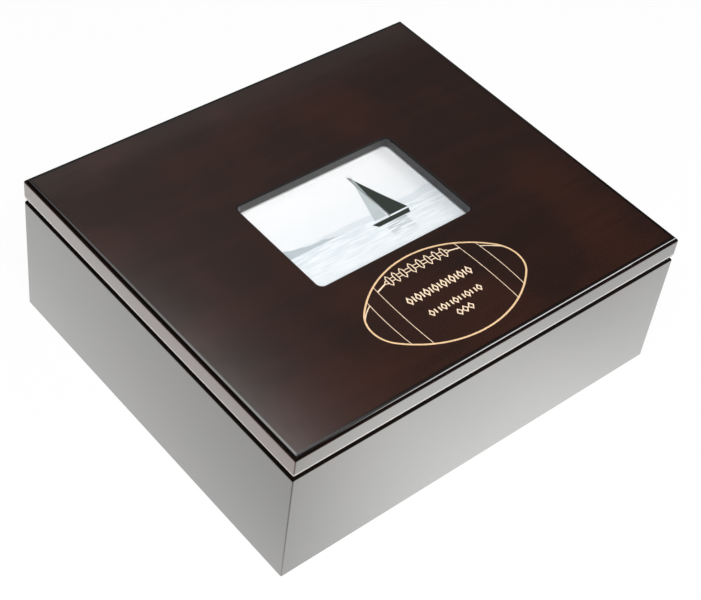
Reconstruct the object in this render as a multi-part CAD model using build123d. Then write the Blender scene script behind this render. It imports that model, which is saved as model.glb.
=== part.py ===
from build123d import *
from math import cos, radians, sin
import os

# Keepsake box: a mitred, lacquered case with a hinged lid that frames a picture.
# Millimetres. The origin is the middle of the underside; +X runs right along the
# front, +Y to the back and +Z up. The lid is modelled closed.

# ------------------------------------------------------------------ driving dimensions

# Case and lid
case_length = 292.0            # outside, along the front
case_depth = 254.0             # outside, front to back
base_height = 86.3             # from what the box stands on up to the rim
wall_thickness = 10.0
lid_thickness = 15.6
rim_gap = 1.3                  # shadow line between rim and lid
corner_radius = 1.0            # rounding of the upright outer corners
edge_radius = 1.9              # rounding of the level outer edges
lid_edge_radius = 2.6          # the same round the top of the lid
inner_edge_radius = 0.6        # broken edge on the inside of the rim

# Bottom panel, glued into a rabbet, and the felt under it
bottom_thickness = 6.0
bottom_rabbet = 5.0            # how far the panel reaches into each wall
bottom_clearance = 0.1         # glue line round the panel
felt_thickness = 1.0
felt_inset = 4.0               # from the outside of the case

# Velvet-covered linings
lining_thickness = 2.0
lining_drop = 5.0              # from the rim down to the top of the wall linings
lining_clearance = 0.2
floor_pad_thickness = 4.0
lid_pad_thickness = 3.0
lid_pad_clearance = 1.5        # between the lid pad and the inside of the walls
lid_pad_corner = 3.0
lid_pad_reveal = 1.0           # wood left showing round the recess in the lid
soft_edge_radius = 0.9
lid_pad_bevel = 0.8

# Rim bumpers
bumper_radius = 3.0
bumper_inset = 16.0            # from each end of the front wall
bumper_bevel = 0.3

# Picture window, from the top of the lid downwards
window_length = 116.5
window_width = 78.5
window_corner = 3.8
window_edge_radius = 0.7
picture_length = 127.0
picture_width = 89.0
picture_clearance = 1.5        # from the picture to the side of its pocket
pane_clearance = 0.5           # from the glass and the backing to the pocket
pocket_corner = 1.0
glass_thickness = 2.0
picture_thickness = 0.3
card_thickness = 1.5
backing_thickness = 3.5
recess_depth = 2.0             # ledge for the turn buttons, below the pocket
ledge_width = 10.0
recess_corner = 4.0

# Turn buttons
button_hub_radius = 4.4
button_tip_radius = 3.4
button_reach = 9.5             # pivot to the centre of the tip
button_thickness = 1.0
button_lift = 0.1              # between the button and the ledge
button_bevel = 0.25
button_inset = 25.0            # from each end of the pocket
button_screw_shank = 1.1
button_screw_head = 2.2
button_screw_dome = 0.8
button_screw_length = 7.0

# Stop hinges
hinge_length = 38.0
hinge_inset = 45.0             # from the end of the case to the hinge
leaf_thickness = 1.2
leaf_land = 2.0                # wood left between the leaf and the inside of the wall
leaf_gap = 0.3                 # between the closed leaves
leaf_corner = 1.0
mortise_clearance = 0.1
barrel_radius = 2.25
barrel_setback = 0.55          # between the barrel and the back of the case
knuckle_count = 5
knuckle_gap = 0.15
knuckle_clearance = 0.2        # between a knuckle and the opposite leaf
pin_radius = 1.0
pin_clearance = 0.04
pin_head_radius = 1.6
pin_head_height = 0.8
pin_head_bevel = 0.4
opening_angle = 95.0           # where the stops meet
stop_clearance = 0.2           # degrees
stop_reach = 4.6               # from the pin's axis to the end of the stops
stop_thickness = 1.2

# Hinge screws
screws_per_leaf = 2
screw_end_margin = 9.0         # from the end of the leaf to the first screw
screw_shank = 1.1
screw_head = 2.1
screw_length = 9.0
screw_clearance = 0.05

# ------------------------------------------------------------------ derived places

half_length = case_length / 2
half_depth = case_depth / 2
wood_z = felt_thickness                        # underside of the walls
rim_z = base_height
lid_z = rim_z + rim_gap                        # underside of the lid
top_z = lid_z + lid_thickness
floor_z = wood_z + bottom_thickness            # top of the bottom panel
inside_length = case_length - 2 * wall_thickness
inside_depth = case_depth - 2 * wall_thickness

ledge_z = lid_z + recess_depth
backing_z = ledge_z                            # each sheet lies on the one below it
card_z = backing_z + backing_thickness
picture_z = card_z + card_thickness
glass_z = picture_z + picture_thickness
lip_z = glass_z + glass_thickness              # underside of the wood round the window
pocket_length = picture_length + 2 * picture_clearance
pocket_width = picture_width + 2 * picture_clearance
recess_length = pocket_length + 2 * ledge_width
recess_width = pocket_width + 2 * ledge_width

axis_y = half_depth + barrel_setback + barrel_radius
axis_z = rim_z + rim_gap / 2
leaf_reach = wall_thickness - leaf_land        # from the back of the case
hinge_places = [side * (half_length - hinge_inset - hinge_length / 2) for side in (-1, 1)]
screw_pitch = (hinge_length - 2 * screw_end_margin) / (screws_per_leaf - 1)
screw_xs = [screw_end_margin - hinge_length / 2 + i * screw_pitch for i in range(screws_per_leaf)]
screw_y = half_depth - leaf_reach / 2

button_x = pocket_length / 2 - button_inset
button_y = pocket_width / 2 + ledge_width / 2
BUTTONS = {"front_left": (-1, -1), "front_right": (1, -1), "back_left": (-1, 1), "back_right": (1, 1)}

ON_FLOOR = (Align.CENTER, Align.CENTER, Align.MIN)


# ------------------------------------------------------------------ shared shapes

def slab(length, depth, height, z):
    """Plain block with its underside at z."""
    return Pos(0, 0, z) * Box(length, depth, height, align=ON_FLOOR)


def rounded_slab(length, depth, height, z, corner):
    """Block with rounded vertical corners and its underside at z."""
    return Pos(0, 0, z) * extrude(RectangleRounded(length, depth, corner), height)


def along_x(section, start, length):
    """Y-Z section carried along X from start."""
    return extrude(Plane.YZ.offset(start) * section, length, dir=(1, 0, 0))


def countersunk_screw(length, grow=0.0):
    """Flat-head screw with its head's top at the origin, pointing down."""
    head, shank = screw_head + grow, screw_shank + grow
    outline = Polyline((0, 0), (head, 0), (shank, shank - head), (shank, -length), (0, -length), (0, 0))
    return revolve(Plane.XZ * make_face(outline), Axis.Z)


def domed_screw():
    """Round-head screw: dome below the origin, shank above it."""
    dome_radius = (button_screw_head**2 + button_screw_dome**2) / (2 * button_screw_dome)
    ball = Pos(0, 0, dome_radius - button_screw_dome) * Sphere(dome_radius)
    head = Cylinder(button_screw_head, button_screw_dome, align=ON_FLOOR)
    dome = ball & Pos(0, 0, -button_screw_dome) * head
    return dome + Cylinder(button_screw_shank, button_screw_length, align=ON_FLOOR)


# ------------------------------------------------------------------ hinges

def hinge_screw_holes():
    """Pilot holes under one leaf, pointing down from the plane of the closed leaves."""
    hole = Pos(0, 0, -screw_length - screw_clearance) * Cylinder(
        screw_shank + screw_clearance, screw_length + screw_clearance, align=ON_FLOOR)
    return [Pos(x, screw_y, 0) * hole for x in screw_xs]


def hinge_mortise(place):
    """Wood taken out of the rim for one base leaf and its screws."""
    reach = leaf_reach + mortise_clearance
    depth = leaf_thickness + leaf_gap / 2
    pocket = Pos(0, half_depth - reach, axis_z) * Box(
        hinge_length + 2 * mortise_clearance, reach + edge_radius, 2 * depth,
        align=(Align.CENTER, Align.MIN, Align.CENTER))
    holes = [Pos(0, 0, axis_z - leaf_gap / 2) * hole for hole in hinge_screw_holes()]
    return [Pos(place, 0, 0) * cut for cut in [pocket] + holes]


def mirrored_up(shape):
    """The same shape for the lid, reflected through the plane of the closed leaves."""
    return mirror(shape, about=Plane.XY.offset(axis_z))


def stop_bar(inner):
    """Section of a stop: a bar that ends on the plane where the two leaves meet."""
    half_angle = radians((opening_angle + stop_clearance) / 2)
    along = Vector(cos(half_angle), -sin(half_angle))
    across = Vector(-sin(half_angle), -cos(half_angle)) * stop_thickness
    corners = [along * inner, along * inner + across, along * stop_reach + across, along * stop_reach]
    return Polygon(*[(corner.X, corner.Y) for corner in corners], align=None)


def leaf(first_knuckle):
    """Base leaf about the origin's X axis; it owns every second knuckle from first_knuckle."""
    opposite_radius = barrel_radius + knuckle_clearance
    plate_top = -leaf_gap / 2
    plate_back = -opposite_radius
    plate_front = -(barrel_radius + barrel_setback + leaf_reach)
    plate = Pos(0, plate_front, plate_top - leaf_thickness) * Box(
        hinge_length, plate_back - plate_front, leaf_thickness, align=(Align.CENTER, Align.MIN, Align.MIN))
    front_edges = plate.edges().filter_by(Axis.Z).group_by(Axis.Y)[0]
    plate = fillet(front_edges, leaf_corner)
    arm = Pos(plate_back, plate_top) * Rectangle(-plate_back, leaf_thickness, align=(Align.MIN, Align.MAX))
    knuckle = Circle(barrel_radius) + arm + stop_bar(0.0)
    body = plate + along_x(stop_bar(opposite_radius), -hinge_length / 2, hinge_length)
    pitch = hinge_length / knuckle_count
    for i in range(first_knuckle, knuckle_count, 2):
        start = -hinge_length / 2 + i * pitch + knuckle_gap / 2
        body += along_x(knuckle, start, pitch - knuckle_gap)
    body -= along_x(Circle(pin_radius + pin_clearance), -hinge_length, 2 * hinge_length)
    for x in screw_xs:
        body -= Pos(x, screw_y - axis_y, plate_top) * countersunk_screw(screw_length, screw_clearance)
    return body


def hinge_pin():
    """Pin about the origin's X axis, with a button head at each end of the barrel."""
    pin = Rot(0, 90, 0) * Cylinder(pin_radius, hinge_length)
    head = Rot(0, 90, 0) * Cylinder(pin_head_radius, pin_head_height, align=ON_FLOOR)
    head = chamfer(head.faces().sort_by(Axis.X)[-1].edges(), pin_head_bevel)
    end = hinge_length / 2
    return pin + Pos(end, 0, 0) * head + Pos(-end, 0, 0) * Rot(0, 0, 180) * head


def hinge_screws():
    """Every screw of the base leaves, seated in the leaves."""
    screw = countersunk_screw(screw_length)
    head_z = axis_z - leaf_gap / 2
    return [Pos(place + x, screw_y, head_z) * screw for place in hinge_places for x in screw_xs]


# ------------------------------------------------------------------ case

def rounded_block(height, z, top_radius):
    """Block of the case's plan with its outer edges rounded, the corners first."""
    block = slab(case_length, case_depth, height, z)
    block = fillet(block.edges().filter_by(Axis.Z), corner_radius)
    block = fillet(block.faces().sort_by(Axis.Z)[-1].edges(), top_radius)
    return fillet(block.faces().sort_by(Axis.Z)[0].edges(), edge_radius)


def case_ring():
    """The four walls in one piece: rounded outside, broken rim, rabbet for the bottom."""
    ring = rounded_block(rim_z - wood_z, wood_z, edge_radius)
    ring -= slab(inside_length, inside_depth, rim_z, 0)
    ring = fillet(ring.faces().sort_by(Axis.Z)[-1].inner_wires().edges(), inner_edge_radius)
    return ring - slab(inside_length + 2 * bottom_rabbet, inside_depth + 2 * bottom_rabbet, floor_z, 0)


def mitre_wedge(half_run, half_across, turn):
    """Prism that keeps one wall of the ring, cut at 45 degrees through the corners."""
    reach = wall_thickness + edge_radius
    wedge = Polygon(
        (-half_run - edge_radius, -half_across - edge_radius),
        (half_run + edge_radius, -half_across - edge_radius),
        (half_run - reach, -half_across + reach),
        (-half_run + reach, -half_across + reach),
        align=None)
    return Rot(0, 0, turn) * extrude(wedge, rim_z + edge_radius)


def case_walls():
    ring = case_ring()
    walls = {
        "front_wall": ring & mitre_wedge(half_length, half_depth, 0),
        "right_wall": ring & mitre_wedge(half_depth, half_length, 90),
        "back_wall": ring & mitre_wedge(half_length, half_depth, 180),
        "left_wall": ring & mitre_wedge(half_depth, half_length, 270),
    }
    for place in hinge_places:
        for cut in hinge_mortise(place):
            walls["back_wall"] -= cut
    return walls


def bottom_panel():
    play = 2 * (bottom_rabbet - bottom_clearance)
    return slab(inside_length + play, inside_depth + play, bottom_thickness, wood_z)


def underside_felt():
    return slab(case_length - 2 * felt_inset, case_depth - 2 * felt_inset, felt_thickness, 0)


def rim_bumpers():
    """Two soft studs on the flat of the front rim, which carry the closed lid."""
    stud = Cylinder(bumper_radius, rim_gap, align=ON_FLOOR)
    stud = chamfer(stud.faces().sort_by(Axis.Z)[-1].edges(), bumper_bevel)
    rim_middle = half_depth - (edge_radius + wall_thickness - inner_edge_radius) / 2
    return [Pos(side * (half_length - bumper_inset), -rim_middle, rim_z) * stud for side in (-1, 1)]


# ------------------------------------------------------------------ linings

def wall_lining(run, turn, distance):
    """Covered card against one wall, standing on the bottom panel, its top edge rounded."""
    height = rim_z - lining_drop - floor_z
    card = slab(run, lining_thickness, height, floor_z)
    card = fillet(card.faces().sort_by(Axis.Z)[-1].edges().filter_by(Axis.X), soft_edge_radius)
    return Rot(0, 0, turn) * Pos(0, lining_thickness / 2 - distance, 0) * card


def wall_linings():
    long_run = inside_length - 2 * lining_clearance
    short_run = inside_depth - 2 * (lining_thickness + lining_clearance)
    return {
        "front_lining": wall_lining(long_run, 0, inside_depth / 2),
        "right_lining": wall_lining(short_run, 90, inside_length / 2),
        "back_lining": wall_lining(long_run, 180, inside_depth / 2),
        "left_lining": wall_lining(short_run, 270, inside_length / 2),
    }


def floor_pad():
    """Padded floor between the wall linings."""
    inset = 2 * (lining_thickness + lining_clearance)
    pad = slab(inside_length - inset, inside_depth - inset, floor_pad_thickness, floor_z)
    return fillet(pad.faces().sort_by(Axis.Z)[-1].edges(), soft_edge_radius)


def lid_pad():
    """Covered panel under the lid, open round the recess of the picture."""
    play = 2 * lid_pad_clearance
    pad = rounded_slab(
        inside_length - play, inside_depth - play, lid_pad_thickness,
        lid_z - lid_pad_thickness, lid_pad_corner)
    reveal = 2 * lid_pad_reveal
    pad -= rounded_slab(
        recess_length + reveal, recess_width + reveal, lid_thickness, lid_z - lid_thickness,
        recess_corner + lid_pad_reveal)
    return chamfer(pad.faces().sort_by(Axis.Z)[0].edges(), lid_pad_bevel)


# ------------------------------------------------------------------ lid

def lid_panel():
    """Board with the window, the stepped pocket behind it and the hinge mortises."""
    board = rounded_block(lid_thickness, lid_z, lid_edge_radius)
    board -= rounded_slab(window_length, window_width, top_z - lid_z, lid_z, window_corner)
    board = fillet(board.faces().sort_by(Axis.Z)[-1].inner_wires().edges(), window_edge_radius)
    board -= rounded_slab(pocket_length, pocket_width, lip_z - lid_z, lid_z, pocket_corner)
    board -= rounded_slab(recess_length, recess_width, recess_depth, lid_z, recess_corner)
    for place in hinge_places:
        for cut in hinge_mortise(place):
            board -= mirrored_up(cut)
    pilot = Cylinder(button_screw_shank + screw_clearance, button_screw_length, align=ON_FLOOR)
    for x_side, y_side in BUTTONS.values():
        board -= Pos(x_side * button_x, y_side * button_y, ledge_z) * pilot
    return board


def picture_stack():
    """What fills the pocket, each sheet lying on the next."""
    pane = (pocket_length - 2 * pane_clearance, pocket_width - 2 * pane_clearance)
    return {
        "window_glass": slab(*pane, glass_thickness, glass_z),
        "picture_print": slab(picture_length, picture_width, picture_thickness, picture_z),
        "backing_card": slab(*pane, card_thickness, card_z),
        "backing_board": slab(*pane, backing_thickness, backing_z),
    }


def turn_button(y_side):
    """Tapered tab whose hub is at the origin, its tip turned in over the backing."""
    tip = Pos(0, -y_side * button_reach) * Circle(button_tip_radius)
    outline = make_hull(Circle(button_hub_radius).edges() + tip.edges())
    tab = extrude(outline, button_thickness)
    tab = chamfer(tab.faces().sort_by(Axis.Z)[0].edges(), button_bevel)
    return tab - Cylinder(button_screw_shank + screw_clearance, 4 * button_thickness)


def turn_buttons():
    seat_z = ledge_z - button_lift - button_thickness
    return {
        f"turn_button_{name}": Pos(x_side * button_x, y_side * button_y, seat_z) * turn_button(y_side)
        for name, (x_side, y_side) in BUTTONS.items()
    }


def turn_button_screws():
    """Round-head screws that carry the buttons, their heads just clear of them."""
    head_z = ledge_z - 2 * button_lift - button_thickness
    screw = domed_screw()
    return [Pos(x_side * button_x, y_side * button_y, head_z) * screw for x_side, y_side in BUTTONS.values()]


# ------------------------------------------------------------------ assembly

def all_parts():
    parts = case_walls()
    parts["bottom_panel"] = bottom_panel()
    parts["underside_felt"] = underside_felt()
    parts["rim_bumpers"] = rim_bumpers()
    parts.update(wall_linings())
    parts["floor_pad"] = floor_pad()
    parts["lid_panel"] = lid_panel()
    parts["lid_pad"] = lid_pad()
    parts.update(picture_stack())
    parts.update(turn_buttons())
    parts["turn_button_screws"] = turn_button_screws()
    for side, place in zip(("left", "right"), hinge_places):
        seat = Pos(place, axis_y, axis_z)
        parts[f"{side}_hinge_base_leaf"] = seat * leaf(0)
        parts[f"{side}_hinge_lid_leaf"] = mirrored_up(seat * leaf(1))
        parts[f"{side}_hinge_pin"] = seat * hinge_pin()
    parts["base_hinge_screws"] = hinge_screws()
    parts["lid_hinge_screws"] = [mirrored_up(screw) for screw in hinge_screws()]
    return parts


def main():
    os.makedirs("parts", exist_ok=True)
    for name, shape in all_parts().items():
        solids = shape if isinstance(shape, list) else [shape]
        node = Compound(children=[solid for item in solids for solid in item.solids()])
        node.label = name
        export_step(node, f"parts/{name}.step")


main()
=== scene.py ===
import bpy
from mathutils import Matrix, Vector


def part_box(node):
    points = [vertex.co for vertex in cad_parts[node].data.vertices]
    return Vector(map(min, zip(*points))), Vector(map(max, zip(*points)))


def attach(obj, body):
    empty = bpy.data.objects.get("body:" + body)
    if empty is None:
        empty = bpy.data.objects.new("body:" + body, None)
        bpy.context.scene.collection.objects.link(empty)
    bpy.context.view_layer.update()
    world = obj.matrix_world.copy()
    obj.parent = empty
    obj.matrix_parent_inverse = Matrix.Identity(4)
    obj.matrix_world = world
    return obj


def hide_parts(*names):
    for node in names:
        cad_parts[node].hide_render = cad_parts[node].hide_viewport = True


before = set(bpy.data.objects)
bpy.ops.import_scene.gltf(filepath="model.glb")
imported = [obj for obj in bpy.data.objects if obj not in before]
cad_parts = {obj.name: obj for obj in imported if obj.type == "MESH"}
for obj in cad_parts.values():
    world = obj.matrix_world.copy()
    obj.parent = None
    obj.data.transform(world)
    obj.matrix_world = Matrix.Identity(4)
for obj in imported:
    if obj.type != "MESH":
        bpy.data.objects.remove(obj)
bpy.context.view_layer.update()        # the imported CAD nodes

import math

import bmesh
import bpy
import numpy as np
from bpy.props import FloatProperty, FloatVectorProperty, IntProperty, PointerProperty
from mathutils import Matrix, Vector

bl_info = {
    "name": "Keepsake Box",
    "version": (1, 0, 0),
    "blender": (4, 5, 0),
    "location": "3D View > Sidebar > Keepsake",
    "description": "Dresses the packed frame of a lacquered keepsake box with a picture window",
    "category": "Object",
}

MM = 0.001
HALF_TURN = math.pi
QUARTER_TURN = math.pi / 2

LID_LOW, LID_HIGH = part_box("lid_panel")
WALL_LOW, WALL_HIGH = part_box("front_wall")
GLASS_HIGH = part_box("window_glass")[1]
PAD_LOW, PAD_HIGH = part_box("floor_pad")
LID_PAD_LOW, LID_PAD_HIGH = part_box("lid_pad")
FELT_LOW, FELT_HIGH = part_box("underside_felt")
HINGE_BOXES = [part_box(f"{side}_hinge_base_leaf") for side in ("left", "right")]


# ---------------------------------------------------------------- what a user would change

def length(name, description, default):
    """A size, shown in the scene's unit of length. The default is in mm."""
    return FloatProperty(
        name=name, description=description, default=default * MM, min=0.0, precision=5,
        unit="LENGTH")


def middle(name, description, x, y):
    """A place on the lid. The default is in mm."""
    return FloatVectorProperty(
        name=name, description=description, size=2, default=(x * MM, y * MM),
        subtype="TRANSLATION", unit="LENGTH")


def colour(name, description, default):
    """A linear colour."""
    return FloatVectorProperty(
        name=name, description=description, default=default, size=3, min=0.0, max=1.0,
        subtype="COLOR")


class KeepsakeCase(bpy.types.PropertyGroup):
    """Sizes of the mitred case."""
    edge_radius: length("Edge radius", "Rounding of the outer edge of the rim", 1.3)
    side_drop: length("Side drop", "The same, down the left and right boards", 2.3)
    foot_radius: length("Foot radius", "Rounding of the outer edge at the foot", 0.9)
    corner_radius: length("Corner radius", "Rounding of the upright outer corners", 1.0)
    rim_radius: length("Rim radius", "Broken edge on the inside of the rim", 0.6)
    rabbet: length("Rabbet", "How far the bottom panel reaches into each wall", 5.0)
    edge_steps: IntProperty(
        name="Edge steps", description="Facets in each rounded edge", default=16, min=2, max=48)
    mortise_reach: length("Mortise reach", "Hinge mortise, in from the back", 8.1)
    mortise_depth: length("Mortise depth", "Hinge mortise, down from the rim", 0.7)
    mortise_play: length("Mortise play", "Gap at each end of a hinge leaf", 0.1)


class KeepsakeLid(bpy.types.PropertyGroup):
    """Sizes of the lid and of the window in it."""
    edge_reach: length("Edge reach", "Rounding round the top, in from the side", 3.3)
    edge_drop: length("Edge drop", "Rounding round the top, down from it", 2.5)
    foot_reach: length("Foot reach", "Rounding round the underside, in from the side", 1.7)
    foot_height: length("Foot height", "Rounding round the underside, up from it", 3.4)
    window_centre: middle("Window centre", "Middle of the opening on the lid", 0.6, 0.6)
    window_length: length("Window length", "Opening in the top, left to right", 116.5)
    window_width: length("Window width", "Opening in the top, front to back", 78.5)
    window_corner: length("Window corner", "Radius of the window's corners", 3.8)
    window_arris: length("Window arris", "Rounding of the window's top edge", 1.2)
    pocket_play: length("Pocket play", "From the glass to the side of its pocket", 0.5)
    pocket_corner: length("Pocket corner", "Radius of the pocket's corners", 1.0)
    ledge_width: length("Ledge width", "Ledge for the turn buttons", 10.0)
    ledge_depth: length("Ledge depth", "Ledge, up from the underside of the lid", 2.0)
    ledge_corner: length("Ledge corner", "Radius of the recess's corners", 4.0)


class KeepsakeFigure(bpy.types.PropertyGroup):
    """Sizes of the filled engraving on the lid."""
    centre: middle("Centre", "Middle of the ball on the lid", -0.8, -81.0)
    half_length: length("Half length", "Middle of the ball to its tip", 55.4)
    half_height: length("Half height", "Middle of the ball to its side", 33.9)
    tip_radius: length("Tip radius", "Rounding of the ball's two tips", 18.9)
    tip_droop: length("Tip droop", "How far the tips hang below the ball's middle", 0.75)
    outline_width: length("Outline width", "Width of the ball's outline", 1.10)
    line_width: length("Line width", "Width of stripes and lacing", 0.72)
    fill_height: length("Fill height", "How proud the fill stands", 0.02)


class KeepsakeLinings(bpy.types.PropertyGroup):
    """Sizes of the velvet-covered linings and pads."""
    crown: length("Crown", "How much higher a pad is in its middle", 0.9)
    roll: length("Roll", "Rounding where the cover turns down", 1.8)
    waist: length("Waist", "How far a pad's sides pull in between its corners", 0.5)
    tuck: length("Tuck", "Rounding of the covered cards", 0.8)
    bulge: length("Bulge", "How far the face of a covered card swells", 0.25)
    pad_corner: length("Pad corner", "Radius of a pad's corners", 3.0)
    fill: FloatProperty(
        name="Fill", description="How full the pads are", default=0.5, min=0.0, max=1.0,
        subtype="FACTOR")


class KeepsakeFinishes(bpy.types.PropertyGroup):
    """Colours of the finishes."""
    mahogany: colour("Mahogany", "Dark of the stained wood", (0.034, 0.0175, 0.0140))
    mahogany_red: colour("Mahogany red", "Red of the stained wood", (0.062, 0.0235, 0.0165))
    end_grain: colour("End grain", "Stained end grain of the lid", (0.150, 0.0700, 0.0600))
    # Painted highlight: a pale line along the lid's lower edge, in place of a reflection there.
    painted_edge_highlight: colour("Painted edge highlight", "Pale line along the lid's lower edge", (0.62, 0.56, 0.54))
    gold: colour("Gold", "Fill of the engraved outline", (0.82, 0.56, 0.32))
    pale_gold: colour("Pale gold", "Fill of the fine engraved lines", (0.92, 0.72, 0.52))
    velvet: colour("Velvet", "Cover of linings and pads", (0.012, 0.010, 0.010))
    felt: colour("Felt", "Sheet under the box", (0.016, 0.013, 0.012))
    brass: colour("Brass", "Hinges and buttons", (0.66, 0.44, 0.17))
    board: colour("Board", "Bare boards", (0.26, 0.15, 0.075))
    card: colour("Card", "Backing card", (0.26, 0.23, 0.18))
    rubber: colour("Rubber", "Bumpers on the rim", (0.020, 0.018, 0.018))
    sky: colour("Sky", "Palest part of the picture", (0.98, 0.99, 1.0))
    water: colour("Water", "Water in the picture", (0.74, 0.81, 0.85))
    shape: colour("Shape", "Dark shapes in the picture", (0.040, 0.048, 0.042))


class KeepsakeStage(bpy.types.PropertyGroup):
    """The floor, the lamps and the camera."""
    floor_radius: length("Floor radius", "Flat part of the floor", 3000.0)
    backdrop_height: length("Backdrop height", "How high the floor sweeps up", 1600.0)
    glow_reach: length("Glow reach", "How far out the floor is bright in reflections", 420.0)
    lamp_power: FloatProperty(
        name="Lamp power", description="Main lamp, in watts", default=27.5, min=0.0)
    lens: FloatProperty(
        name="Lens", description="Focal length in millimetres", default=85.59, min=1.0)


def settings(group):
    """The sizes or colours of one group, as the scene keeps them."""
    return getattr(bpy.context.scene, "keepsake_" + group)


# ---------------------------------------------------------------- node trees

class Signal:
    """An output of a shader node. Arithmetic with it adds Math nodes to its tree."""

    def __init__(self, socket):
        self.socket = socket
        self.tree = socket.id_data

    def math(self, operation, *others):
        """A Math node that starts with this."""
        inputs = dict(enumerate((self, *others)))
        return signal(self.tree, "Math", 0, inputs, operation=operation)

    def __add__(self, other):
        return self.math("ADD", other)

    def __sub__(self, other):
        return self.math("SUBTRACT", other)

    def __mul__(self, other):
        return self.math("MULTIPLY", other)

    def __truediv__(self, other):
        return self.math("DIVIDE", other)

    def at_least(self, other):
        return self.math("MAXIMUM", other)

    def at_most(self, other):
        return self.math("MINIMUM", other)

    def fade(self, start, end, low=0.0, high=1.0):
        """Smooth step from low at start to high at end."""
        return signal(
            self.tree, "MapRange", "Result",
            {"Value": self, "From Min": start, "From Max": end, "To Min": low, "To Max": high},
            interpolation_type="SMOOTHSTEP")

    def mix(self, first, second):
        """Colour between two colours: the first where this is 0, the second where it is 1."""
        return signal(self.tree, "Mix", 2, {0: self, 6: first, 7: second}, data_type="RGBA")

    def bump(self, distance):
        """Normal of a surface raised by this times the distance, in metres."""
        return signal(self.tree, "Bump", 0, {"Height": self, "Distance": distance, "Strength": 1.0})

    def axes(self):
        """X, Y and Z of a vector."""
        return [Signal(output) for output in node(self.tree, "SeparateXYZ", {0: self}).outputs]


def put(socket, value):
    """Links a socket to a signal, or gives it a plain value."""
    if isinstance(value, Signal):
        value.tree.links.new(value.socket, socket)
    else:
        socket.default_value = (*value, 1.0) if socket.type == "RGBA" else value


def node(tree, kind, inputs=None, **settings):
    """One node, with its settings and its inputs by name or number."""
    made = tree.nodes.new("ShaderNode" + kind)
    for name, value in settings.items():
        setattr(made, name, value)
    for key, value in (inputs or {}).items():
        put(made.inputs[key], value)
    return made


def signal(tree, kind, output, inputs=None, **settings):
    """One output of a new node, by name or number."""
    return Signal(node(tree, kind, inputs, **settings).outputs[output])


def place(tree, scale=(1.0, 1.0, 1.0), turn=0.0):
    """The piece's own coordinates in metres, scaled, and then turned about Z."""
    spot = signal(tree, "TexCoord", "Object")
    return signal(
        tree, "Mapping", 0, {"Vector": spot, "Scale": scale, "Rotation": (0.0, 0.0, turn)})


def noise(tree, scale, detail=3.0, roughness=0.5, turn=0.0):
    """Fractal noise over the piece, about 0 to 1. The scale is one number or one for each axis."""
    scales = (scale,) * 3 if np.isscalar(scale) else scale
    return signal(tree, "TexNoise", 0, {
        "Vector": place(tree, scales, turn), "Scale": 1.0, "Detail": detail,
        "Roughness": roughness})


def empty_tree(owner):
    """The emptied node tree of a material or a world."""
    owner.use_nodes = True
    owner.node_tree.nodes.clear()
    return owner.node_tree


def finish(name, sockets, *details):
    """The material of that name. Made the first time, when sockets(tree, *details) gives the
    values of its shader's sockets, with an underscore in a name for a space."""
    material = bpy.data.materials.get(name)
    if material is None:
        material = bpy.data.materials.new(name)
        tree = empty_tree(material)
        values = sockets(tree, *details)
        shader = signal(tree, "BsdfPrincipled", 0,
                        {key.replace("_", " "): value for key, value in values.items()})
        node(tree, "OutputMaterial", {"Surface": shader})
    return material


def paint(name, strength=1.0):
    """A colour from the settings, times a number."""
    return tuple(strength * c for c in getattr(settings("finishes"), name))


# ---------------------------------------------------------------- finishes

def stained_wood(tree, turn):
    """Colour of dark stained mahogany: its grain runs along X, and the turn sets which part of
    the pattern shows, so that neighbouring boards differ."""
    figure = noise(tree, (7.0, 120.0, 120.0), 4.0, 0.6, turn)
    clouds = noise(tree, 16.0, 2.0, 0.45)
    pores = noise(tree, (45.0, 2200.0, 2200.0), 2.0, 0.5, turn)
    red = clouds.fade(0.40, 0.66, 0.0, 0.65) + figure.fade(0.35, 0.70, 0.0, 0.35)
    wood = red.mix(paint("mahogany"), paint("mahogany_red"))
    return pores.fade(0.56, 0.72, 0.0, 0.6).mix(wood, paint("mahogany", 0.55))


def painted_edge_light(tree, wood):
    """The same colour with painted light on the edges: painted shade, dark where the piece's
    edge_tone is 1, and a painted pale highlight where it is -1."""
    tone = signal(tree, "Attribute", "Fac", attribute_name="edge_tone")
    # Painted highlight where edge_tone is -1, painted shade where it is 1.
    painted_highlight = tone.fade(0.0, -1.0).mix(wood, paint("painted_edge_highlight"))
    return tone.fade(0.0, 1.0).mix(painted_highlight, paint("mahogany", 0.2))


def dust(tree, wood):
    """The same colour with a few pale specks, one in every third cell of 17 mm."""
    cells = node(tree, "TexVoronoi", {"Vector": place(tree), "Scale": 58.0}, feature="F1").outputs
    draw = signal(tree, "SeparateColor", 0, {"Color": Signal(cells["Color"])})
    speck = Signal(cells["Distance"]).fade(0.012, 0.030, 0.6, 0.0) * draw.fade(0.66, 0.7)
    return speck.mix(wood, (0.30, 0.28, 0.26))


def lacquer(tree, turn, end_grain=False):
    """Deep gloss over stained mahogany; the coat carries the mirror. End grain, on the lid's
    left and right sides, is redder."""
    wood = stained_wood(tree, turn)
    if end_grain:
        x = place(tree).axes()[0]
        side = x.math("ABSOLUTE").fade(LID_HIGH.x - 0.8 * MM, LID_HIGH.x)
        wood = side.mix(wood, paint("end_grain"))
    return dict(
        # The base colour carries the painted shade and painted highlight of the edges, and dust
        # specks.
        Base_Color=dust(tree, painted_edge_light(tree, wood)), Roughness=0.12, IOR=2.5,
        Coat_Weight=1.0, Coat_IOR=4.0, Coat_Roughness=0.05,
        Coat_Normal=noise(tree, 70.0, 2.0).bump(0.02 * MM))


def black_reveal(tree):
    """Black satin paint inside the window and the pocket, with a little brush texture."""
    strokes = noise(tree, (60.0, 60.0, 900.0), 3.0, 0.55)
    return dict(
        Base_Color=strokes.mix((0.010, 0.009, 0.010), (0.016, 0.014, 0.015)),
        Roughness=strokes.fade(0.3, 0.7, 0.10, 0.18), IOR=1.65)


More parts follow.
